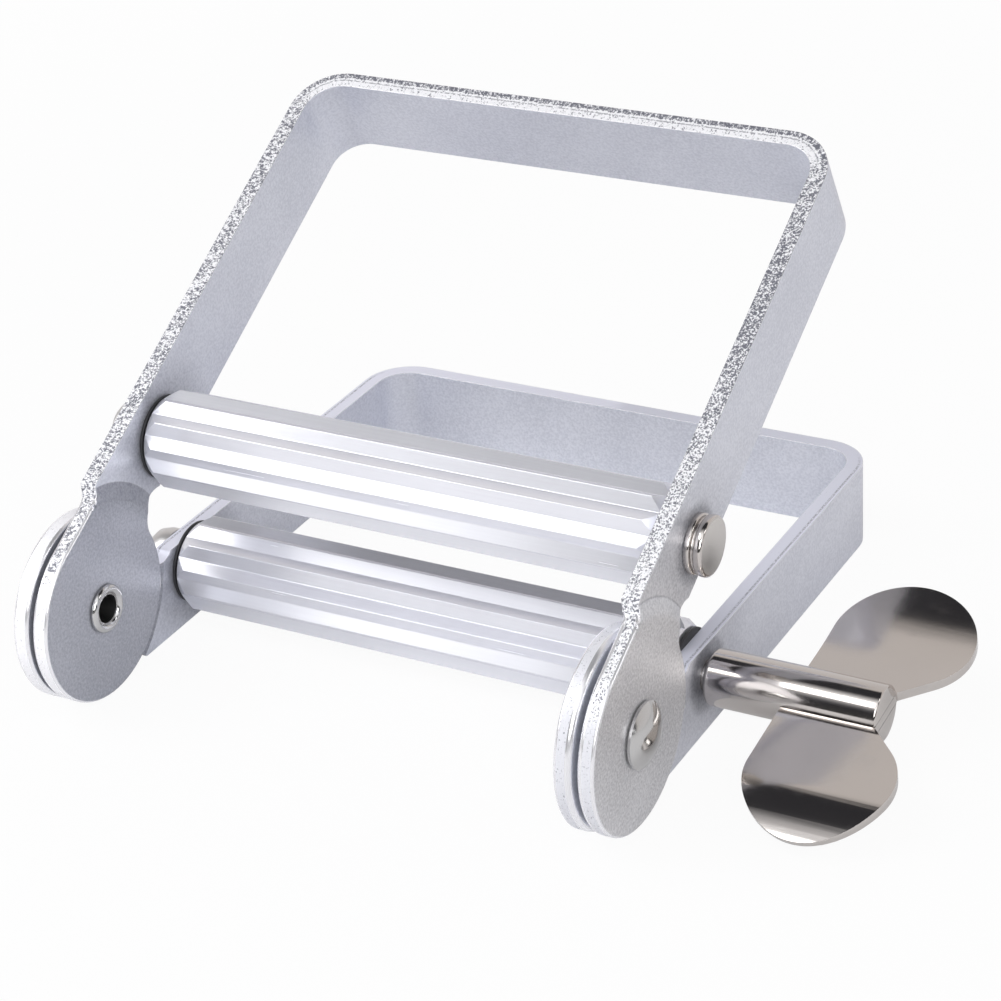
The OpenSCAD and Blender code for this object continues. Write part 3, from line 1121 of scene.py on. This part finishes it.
@dataclass
class FlutedRoller:
    """A roller with V flutes along it and turned chamfers at its ends.

    The bar runs past the roller by overrun at each end, and the envelope's chamfers are
    chamfer_over times as long, so that they leave the bar outside its radius.
    """

    node: str
    body: str
    axis: Vector
    flute_at: float
    radius: float = 5.25
    flute_depth: float = 0.85
    flutes: int = 12
    chamfer: float = 0.85
    chamfer_len: float = 1.35
    chamfer_over: float = 1.2
    bore: float = 1.65
    ridge_round: float = 0.1
    overrun: float = 1.0

    def build(self) -> bpy.types.Object:
        """Cuts the fluted bar to the turned envelope.

        Returns:
            The roller's piece.
        """
        low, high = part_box(self.node)
        length = (high.x - low.x) / MM
        start = on_axis(self.axis, low.x)
        solid = combined(self.bar(length, start), self.envelope(length, start), "INTERSECT")
        return piece(solid, self.node + "_bar", self.body, [ROLLER], self.node)

    def bar(self, length: float, start: Vector) -> BMesh:
        """Draws the fluted bar, a little longer than the roller.

        Args:
            length: the roller's length, in mm.
            start: the middle of its left end, in metres.

        Returns:
            The bar.
        """
        bm = bmesh.new()
        ring = bmesh.ops.create_circle(bm, cap_ends=True, radius=self.radius * MM,
                                       segments=2 * self.flutes)["verts"]
        for i, vert in enumerate(ring):
            angle = math.radians(self.flute_at + i * 180 / self.flutes)
            reach = (self.radius - (self.flute_depth if i % 2 == 0 else 0.0)) * MM
            vert.co = Vector((-self.overrun * MM, reach * math.cos(angle),
                              reach * math.sin(angle)))
        grown = bmesh.ops.extrude_face_region(bm, geom=list(bm.faces))["geom"]
        bmesh.ops.translate(bm, verts=[v for v in grown if isinstance(v, BMVert)],
                            vec=((length + 2 * self.overrun) * MM, 0, 0))
        bmesh.ops.recalc_face_normals(bm, faces=bm.faces)
        long_edges = [e for e in bm.edges if e.calc_length() > length * MM]
        round_edges(bm, long_edges, self.ridge_round * MM, 3)
        bmesh.ops.translate(bm, verts=bm.verts, vec=start)
        return bm

    def envelope(self, length: float, start: Vector) -> BMesh:
        """Draws the turned outside of the roller, with its bore.

        Args:
            length: the roller's length, in mm.
            start: the middle of its left end, in metres.

        Returns:
            The ring that holds the roller.
        """
        end = self.radius - self.chamfer
        run, rise = self.chamfer_len * self.chamfer_over, self.chamfer * self.chamfer_over
        profile = [Turn(0, self.bore), Turn(0, end), Turn(run, end + rise),
                   Turn(length - run, end + rise), Turn(length, end),
                   Turn(length, self.bore)]
        return turned(profile, start, ring=True)


@dataclass
class TurnedPin:
    """A turned piece on one axis, described by its profile.

    Faces nearer to the axis than second_r and between the two ends of second_x, both in
    mm from the start, have the second finish.
    """

    node: str
    body: str
    slot: Slot
    finish: Finish
    start: Vector
    profile: Sequence[Turn]
    ring: bool = False
    second: Finish | None = None
    second_r: float = 0.0
    second_x: Span = (0.0, 0.0)

    def build(self) -> bpy.types.Object:
        """Spins the profile and gives the faces their finishes.

        Returns:
            The piece.
        """
        bm = turned(self.profile, self.start, self.ring)
        finishes = [self.finish] + ([self.second] if self.second else [])
        if self.second:
            for face in bm.faces:
                offset = (face.calc_center_median() - self.start) / MM
                if (math.hypot(offset.y, offset.z) < self.second_r
                        and min(self.second_x) <= offset.x <= max(self.second_x)):
                    face.material_index = 1
        return piece(bm, self.node + "_turned", self.body, finishes, self.node,
                     TURNED_SMOOTH_DEG)


@dataclass
class Hardware:
    """Rivets, pins, caps and washers, in millimetres.

    Fields that end in round are roundings of corners. Those that end in play say how much
    wider a bore is than what goes through it, or how far a finish's limits reach past it.
    """

    layout: Layout
    rivet_r: float = 2.1
    rivet_bore_r: float = 1.5
    rivet_bore_depth: float = 3.4
    rivet_bore_tip: float = 0.4
    rivet_bore_round: float = 0.2
    rivet_bore_play: float = 0.01
    rivet_bore_end: float = 0.5
    dome_r: float = 3.3
    dome_h: float = 1.5
    dome_rim: float = 0.35
    dome_steps: int = 14
    curl_r: float = 0.45
    curl_steps: int = 10
    curl_play: float = 0.02
    curl_inside: float = 0.3
    pin_r: float = 1.6
    foot_round: float = 0.15
    seat_round: float = 0.12
    head_r: float = 3.0
    head_h: float = 1.85
    collar_share: float = 0.4
    collar_round: float = 0.22
    groove: float = 0.4
    groove_w: float = 0.3
    groove_round: float = 0.1
    brim_round: float = 0.25
    face_round: float = 0.3
    face_play: float = 0.01
    cap_len: float = 3.0
    cap_grip: float = 2.2
    cap_play: float = 0.02
    cap_round: float = 0.6
    key_cap_round: float = 2.0
    cap_mouth_round: float = 0.1
    washer_play: float = 0.05
    washer_round: float = 0.1

    def build(self) -> list[bpy.types.Object]:
        """Builds every small turned piece.

        Returns:
            The pieces.
        """
        upper, key = self.layout.upper_axis, self.layout.key_axis
        pins = [self.rivet("hinge_rivet_left", -1), self.rivet("hinge_rivet_right", 1),
                self.upper_pin(),
                self.cap("upper_pin_cap", "upper", upper, self.cap_round),
                self.cap("key_cap", "key", key, self.key_cap_round),
                self.washer("lower_washer_left", "base", key),
                self.washer("lower_washer_right", "base", key),
                self.washer("upper_washer_left", "upper", upper),
                self.washer("upper_washer_right", "upper", upper)]
        return [pin.build() for pin in pins]

    def rivet(self, node: str, side: int) -> TurnedPin:
        """Draws a semi-tubular rivet.

        Args:
            node: the CAD node.
            side: -1 if its domed head is on the left, 1 on the right.

        Returns:
            The rivet.
        """
        low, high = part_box(node)
        head_end = high.x if side > 0 else low.x
        seat = head_end - side * self.dome_h * MM
        tail = (self.dome_h * MM - (high.x - low.x)) / MM
        cap_h = self.dome_h - self.dome_rim
        ball = (self.dome_r ** 2 + cap_h ** 2) / (2 * cap_h)
        widest = math.asin(self.dome_r / ball)
        turns = [widest * i / self.dome_steps for i in range(self.dome_steps + 1)]
        dome = [Turn(side * (self.dome_h - ball + ball * math.cos(turn)),
                     ball * math.sin(turn)) for turn in turns]
        curl_mid = tail + self.curl_r
        turns = [math.pi * i / self.curl_steps for i in range(self.curl_steps + 1)]
        curl = [Turn(side * (curl_mid - self.curl_r * math.sin(turn)),
                     self.rivet_r - self.curl_r * math.cos(turn)) for turn in turns]
        curl = [t for t in curl if t.r > self.rivet_bore_r + self.curl_play]
        floor = tail + self.rivet_bore_depth
        profile = dome + [Turn(0.0, self.dome_r, self.seat_round), Turn(0.0, self.rivet_r),
                          Turn(side * curl_mid, self.rivet_r)]
        profile += list(reversed(curl))
        profile += [Turn(side * (curl_mid - self.curl_r * self.curl_inside),
                         self.rivet_bore_r),
                    Turn(side * floor, self.rivet_bore_r, self.rivet_bore_round),
                    Turn(side * (floor + self.rivet_bore_tip), 0.0)]
        # The bore's faces take the dark finish that paints the shade inside the hole.
        return TurnedPin(node, "base", Slot.PLATED, RIVET, on_axis(self.layout.hinge, seat),
                         profile, second=SHADED_BORE,
                         second_r=self.rivet_bore_r + self.rivet_bore_play,
                         second_x=(side * tail, side * (floor + self.rivet_bore_end)))

    def upper_pin(self) -> TurnedPin:
        """Draws the headed pin through the upper roller.

        Returns:
            The pin, with its face in a finish of its own.
        """
        low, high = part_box("upper_pin")
        seat = high.x - self.head_h * MM
        foot = (low.x - seat) / MM
        neck = (self.head_h - self.groove_w) * self.collar_share
        brim = neck + self.groove_w
        waist = self.head_r - self.groove
        profile = [Turn(foot, 0), Turn(foot, self.pin_r, self.foot_round),
                   Turn(0, self.pin_r), Turn(0, self.head_r, self.seat_round),
                   Turn(neck, self.head_r, self.collar_round),
                   Turn(neck, waist, self.groove_round),
                   Turn(brim, waist, self.groove_round),
                   Turn(brim, self.head_r, self.brim_round),
                   Turn(self.head_h, self.head_r, self.face_round), Turn(self.head_h, 0)]
        return TurnedPin("upper_pin", "upper", Slot.PLATED, NICKEL,
                         on_axis(self.layout.upper_axis, seat), profile, second=FACED,
                         second_r=self.head_r - self.face_round,
                         second_x=(self.head_h - self.face_play,
                                   self.head_h + self.face_play))

    def cap(self, node: str, body: str, axis: Vector, rounding: float) -> TurnedPin:
        """Draws the cap pressed on the far end of a pin.

        Args:
            node: the CAD node.
            body: the body that it rides on.
            axis: a point of the pin's axis, in metres.
            rounding: how round its closed end is.

        Returns:
            The cap.
        """
        _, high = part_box(node)
        bore = self.pin_r + self.cap_play
        profile = [Turn(-self.cap_len, 0), Turn(-self.cap_len, self.head_r, rounding),
                   Turn(0, self.head_r, self.cap_mouth_round), Turn(0, bore),
                   Turn(-self.cap_grip, bore), Turn(-self.cap_grip, 0)]
        return TurnedPin(node, body, Slot.PLATED, SATIN, on_axis(axis, high.x), profile)

    def washer(self, node: str, body: str, axis: Vector) -> TurnedPin:
        """Draws a thin washer at a roller's end.

        Args:
            node: the CAD node.
            body: the body that it rides on.
            axis: a point of the roller's axis, in metres.

        Returns:
            The washer.
        """
        low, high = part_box(node)
        thick, outer = (high.x - low.x) / MM, (high.z - low.z) / 2 / MM
        bore = self.pin_r + self.washer_play
        profile = [Turn(0, bore), Turn(0, outer, self.washer_round),
                   Turn(thick, outer, self.washer_round), Turn(thick, bore)]
        return TurnedPin(node, body, Slot.WASHER, NYLON, on_axis(axis, low.x), profile,
                         ring=True)


@dataclass
class WingKey:
    """The slotted barrel and shaft of the key, and its two bowed blades, in millimetres.

    A bow is where it begins, out from the axis, and its radius. The droop is where it
    begins and how much it adds for each millimetre.
    """

    layout: Layout
    pin_r: float = 1.6
    foot_round: float = 0.15
    barrel_r: float = 2.9
    barrel_len: float = 18.0
    seat_round: float = 0.5
    mouth_round: float = 0.3
    wing_t: float = 1.0
    wing_start: float = 8.4
    reach: float = 17.9
    blade_r: float = 7.2
    arc_steps: int = 64
    slices: int = 36
    root_deg: float = 6.0
    rear_bow: Span = (6.0, 44.0)
    front_bow: Span = (12.2, 11.0)
    front_droop: Span = (4.0, 0.05)
    slot_clear: float = 0.05
    slot_overrun: float = 1.0
    edge_deg: float = 50.0
    edge_round: float = 0.18

    def build(self) -> list[bpy.types.Object]:
        """Builds the shaft and the wing.

        Returns:
            The two pieces.
        """
        _, shaft_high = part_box("key_shaft")
        start = on_axis(self.layout.key_axis, shaft_high.x - self.barrel_len * MM)
        return [self.shaft(start), self.wing(start)]

    def shaft(self, start: Vector) -> bpy.types.Object:
        """Turns the shaft and its barrel, and cuts the slot for the wing.

        Args:
            start: where the barrel begins on the key's axis, in metres.

        Returns:
            The shaft's piece.
        """
        low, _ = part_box("key_shaft")
        foot = (low.x - start.x) / MM
        profile = [Turn(foot, 0), Turn(foot, self.pin_r, self.foot_round),
                   Turn(0, self.pin_r), Turn(0, self.barrel_r, self.seat_round),
                   Turn(self.barrel_len, self.barrel_r, self.mouth_round),
                   Turn(self.barrel_len, 0)]
        body = turned(profile, start)
        slot = bmesh.new()
        bmesh.ops.create_cube(slot, size=1.0)
        bmesh.ops.scale(slot, verts=slot.verts,
                        vec=(self.barrel_len * MM,
                             (2 * self.barrel_r + 2 * self.slot_overrun) * MM,
                             (self.wing_t + 2 * self.slot_clear) * MM))
        middle = (self.wing_start - self.slot_clear + self.barrel_len / 2) * MM
        bmesh.ops.translate(slot, verts=slot.verts, vec=(middle, 0, 0))
        self.set_at_root(slot, start)
        return piece(combined(body, slot, "DIFFERENCE"), "key_shaft_turned", "key",
                     [NICKEL], "key_shaft", TURNED_SMOOTH_DEG)

    def set_at_root(self, bm: BMesh, start: Vector) -> None:
        """Tilts a mesh drawn about the key's axis by the wing's angle and places it.

        Args:
            bm: the mesh.
            start: where the barrel begins on the key's axis, in metres.
        """
        bmesh.ops.rotate(bm, verts=bm.verts, cent=(0, 0, 0),
                         matrix=Matrix.Rotation(math.radians(self.root_deg), 3, "X"))
        bmesh.ops.translate(bm, verts=bm.verts, vec=start)

    def wing(self, start: Vector) -> bpy.types.Object:
        """Makes one plate: both blades in outline, sliced, bowed, thickened and rounded.

        Args:
            start: where the barrel begins on the key's axis, in metres.

        Returns:
            The wing's piece.
        """
        bm = self.outline()
        for i in range(1, 2 * self.slices):
            y = (-self.reach + i * self.reach / self.slices) * MM
            bmesh.ops.bisect_plane(bm, geom=[*bm.verts, *bm.edges, *bm.faces],
                                   dist=ON_PLANE, plane_co=(0, y, 0), plane_no=(0, 1, 0))
        for vert in bm.verts:
            vert.co = self.bowed(vert.co)
        bmesh.ops.recalc_face_normals(bm, faces=bm.faces)
        if sum((f.normal for f in bm.faces), Vector()).z < 0:
            bmesh.ops.reverse_faces(bm, faces=bm.faces)
        for vert in bm.verts:
            vert.normal_update()
            vert.co += vert.normal * (self.wing_t / 2 * MM)
        bmesh.ops.solidify(bm, geom=list(bm.faces), thickness=self.wing_t * MM)
        bmesh.ops.recalc_face_normals(bm, faces=bm.faces)
        round_edges(bm, sharp_edges(bm, self.edge_deg), self.edge_round * MM, 3)
        self.set_at_root(bm, start)
        return piece(bm, "wing_plate", "key", [NICKEL], "wing",
                     TURNED_SMOOTH_DEG)

    def outline(self) -> BMesh:
        """Draws the flat outline of both blades, seen from above.

        Returns:
            The outline as one face.
        """
        points = self.half_outline()
        bm = bmesh.new()
        ring = [bm.verts.new((x * MM, y * MM, 0)) for x, y in points]
        ring += [bm.verts.new((x * MM, -y * MM, 0)) for x, y in reversed(points)]
        bm.faces.new(ring)
        bmesh.ops.remove_doubles(bm, verts=bm.verts, dist=SAME_POINT)
        return bm

    def half_outline(self) -> list[Span]:
        """Draws half of the outline, from the barrel's end round the blade.

        Returns:
            The points, in mm along and out from the key's axis.
        """
        cx, cy = self.wing_start + self.blade_r, self.reach - self.blade_r
        px, py = self.barrel_len, self.barrel_r
        away = math.hypot(px - cx, py - cy)
        first = math.atan2(py - cy, px - cx) + math.acos(self.blade_r / away)
        arc = [first + (math.pi - first) * i / self.arc_steps
               for i in range(self.arc_steps + 1)]
        return ([(px, 0.0), (px, py)]
                + [(cx + self.blade_r * math.cos(a), cy + self.blade_r * math.sin(a))
                   for a in arc]
                + [(self.wing_start, 0.0)])

    def bowed(self, point: Vector) -> Vector:
        """Bows the flat plate.

        Args:
            point: a point of the flat outline, in metres.

        Returns:
            Where it lies on the bowed plate.
        """
        y = point.y / MM
        bow_start, radius = self.rear_bow if y > 0 else self.front_bow
        past = max(abs(y) - bow_start, 0.0)
        rise = radius - math.sqrt(max(radius ** 2 - past ** 2, 0.0))
        if y < 0:
            rise += max(-y - self.front_droop[0], 0.0) * self.front_droop[1]
        return Vector((point.x, point.y, math.copysign(rise, y) * MM))


# ---------------------------------------------------------------------------- studio

@dataclass(frozen=True)
class Softbox:
    """A rectangular area lamp: where it hangs and its size in metres, and its power."""

    name: str
    place: Triple
    size: Span
    power: float

    def build(self) -> None:
        """Hangs the lamp so that it points at the object, with its width along X."""
        data = bpy.data.lights.new(self.name, "AREA")
        data.shape = "RECTANGLE"
        data.size, data.size_y = self.size
        data.energy = self.power
        lamp = bpy.data.objects.new(self.name, data)
        bpy.context.scene.collection.objects.link(lamp)
        lamp.location = self.place
        lamp.rotation_mode = "QUATERNION"
        lamp.rotation_quaternion = (-Vector(self.place)).to_track_quat("-Z", "Y")
        lamp.visible_camera = False


@dataclass
class Studio:
    """Camera, floor, backdrop and soft lights.

    The camera's place is in millimetres from the hinge. The backdrop's stops run from the
    horizon behind the object at 0, over its top at 0.5, to the camera's side at 1.
    """

    layout: Layout
    lens_mm: float = 103.231
    sensor_mm: float = 36.0
    clip: Span = (0.01, 10.0)
    from_hinge: Triple = (132.408, -198.432, 143.279)
    turn: tuple[float, float, float, float] = (0.83476326, 0.49319724, 0.14928278, 0.19401402)
    floor_half: float = 1.6
    floor_colour: Colour = (0.78, 0.78, 0.79)
    shadow_share: float = 0.06
    shadow_fades: Span = (0.12, 0.4)
    mirrored_share: float = 0.18
    backdrop: Sequence[tuple[float, Colour]] = (
        (0.0, (0.78, 0.76, 0.76)),
        (0.20, (0.72, 0.69, 0.68)),
        (0.328, (0.70, 0.665, 0.64)),
        (0.362, (0.035, 0.035, 0.04)),
        (0.51, (0.04, 0.04, 0.045)),
        (0.58, (0.7, 0.7, 0.71)),
        (0.625, (1.3, 1.3, 1.33)),
        (0.69, (1.3, 1.3, 1.33)),
        (0.755, (0.45, 0.45, 0.46)),
        (0.81, (0.12, 0.12, 0.13)),
        (0.86, (0.04, 0.04, 0.045)),
        (1.0, (0.06, 0.06, 0.06)),
    )
    softboxes: Sequence[Softbox] = (
        Softbox("softbox_above", (-0.30, -0.28, 0.60), (0.60, 0.18), 1.1),
        Softbox("softbox_left", (-0.55, -0.35, 0.40), (0.40, 0.40), 1.2),
        Softbox("softbox_front", (0.30, -0.56, 0.34), (0.45, 0.35), 1.9),
        Softbox("softbox_right", (0.62, 0.05, 0.46), (0.16, 0.16), 0.3),
        Softbox("strip_light", (-0.10, -0.135, 0.065), (0.09, 0.05), 0.02),
    )

    def build(self) -> None:
        """Sets the stage."""
        self.camera()
        self.floor()
        self.world()
        for softbox in self.softboxes:
            softbox.build()
        bpy.context.scene.view_settings.view_transform = "Standard"

    def camera(self) -> None:
        """The photograph's viewpoint, held from the hinge axis."""
        data = bpy.data.cameras.new("camera")
        data.sensor_width = self.sensor_mm
        data.lens = self.lens_mm
        data.clip_start, data.clip_end = self.clip
        camera = bpy.data.objects.new("camera", data)
        bpy.context.scene.collection.objects.link(camera)
        camera.location = self.layout.hinge + Vector(self.from_hinge) * MM
        camera.rotation_mode = "QUATERNION"
        camera.rotation_quaternion = Quaternion(self.turn)
        bpy.context.scene.camera = camera

    def floor(self) -> None:
        """A white floor that keeps a light shadow and fades into the backdrop."""
        bm = bmesh.new()
        bmesh.ops.create_grid(bm, x_segments=1, y_segments=1, size=self.floor_half)
        mesh = bpy.data.meshes.new("floor")
        bm.to_mesh(mesh)
        bm.free()
        floor = bpy.data.objects.new("floor", mesh)
        bpy.context.scene.collection.objects.link(floor)
        mesh.materials.append(self.white_floor())

    def white_floor(self) -> bpy.types.Material:
        """Makes the floor's material.

        Returns:
            A white that glows for the camera and, more faintly, in reflections.
        """
        made = bpy.data.materials.new("white_floor")
        made.use_nodes = True
        graph = Graph(made.node_tree)
        coords = graph.out(graph.node("ShaderNodeTexCoord"), "Object")
        reach = graph.out(graph.node("ShaderNodeVectorMath", {"operation": "LENGTH"},
                                     {0: coords}), "Value")
        far = reach.rise(*self.shadow_fades)
        rays = graph.node("ShaderNodeLightPath")
        seen = graph.out(rays, "Is Camera Ray")
        mirrored = graph.out(rays, "Is Glossy Ray").most(graph.out(rays, "Is Transmission Ray"))
        plain = (seen * ((1.0 - self.shadow_share) + self.shadow_share * far)
                 + mirrored * self.mirrored_share)
        shade = graph.node("ShaderNodeBsdfDiffuse", None, {"Color": self.floor_colour})
        glow = graph.node("ShaderNodeEmission", None, {"Color": (1, 1, 1), "Strength": 1.0})
        mixed = graph.node("ShaderNodeMixShader", None,
                           {0: plain, 1: graph.out(shade), 2: graph.out(glow)})
        graph.node("ShaderNodeOutputMaterial", None, {"Surface": graph.out(mixed)})
        return made

    def world(self) -> None:
        """A soft studio all round: pale backdrop, a dark gap, white above and in front."""
        world = bpy.data.worlds.new("studio")
        bpy.context.scene.world = world
        world.use_nodes = True
        graph = Graph(world.node_tree)
        heading = graph.out(graph.node("ShaderNodeTexCoord"), "Generated")
        _, back, up = graph.parts(heading)
        tilt = graph.out(graph.node("ShaderNodeMath", {"operation": "ARCTAN2"},
                                    {0: up, 1: back}))
        ramp = graph.node("ShaderNodeValToRGB", {"stops": self.backdrop},
                          {0: tilt / math.pi})
        rays = graph.out(graph.node("ShaderNodeLightPath"), "Is Camera Ray")
        colour = graph.mix(rays, graph.out(ramp), (1.0, 1.0, 1.0))
        shown = graph.node("ShaderNodeBackground", None, {"Color": colour, "Strength": 1.0})
        graph.node("ShaderNodeOutputWorld", None, {"Surface": graph.out(shown)})


def main() -> None:
    """Builds the squeezer and its studio."""
    logging.basicConfig(level=logging.INFO, format="%(name)s: %(message)s")
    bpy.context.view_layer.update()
    layout = Layout()
    StripFrame("lower_frame", "base", layout, tilt_deg=0.0, turned_over=True,
               shift=-1.3).build()
    StripFrame("upper_frame", "upper", layout, tilt_deg=layout.open_deg,
               turned_over=False, shift=0.0).build()
    FlutedRoller("upper_roller", "roller", layout.upper_axis,
                 flute_at=2.3 + layout.open_deg).build()
    FlutedRoller("lower_roller", "key", layout.key_axis, flute_at=25.5, bore=1.62).build()
    Hardware(layout).build()
    WingKey(layout).build()
    Studio(layout).build()


if __name__ == "__main__":
    main()
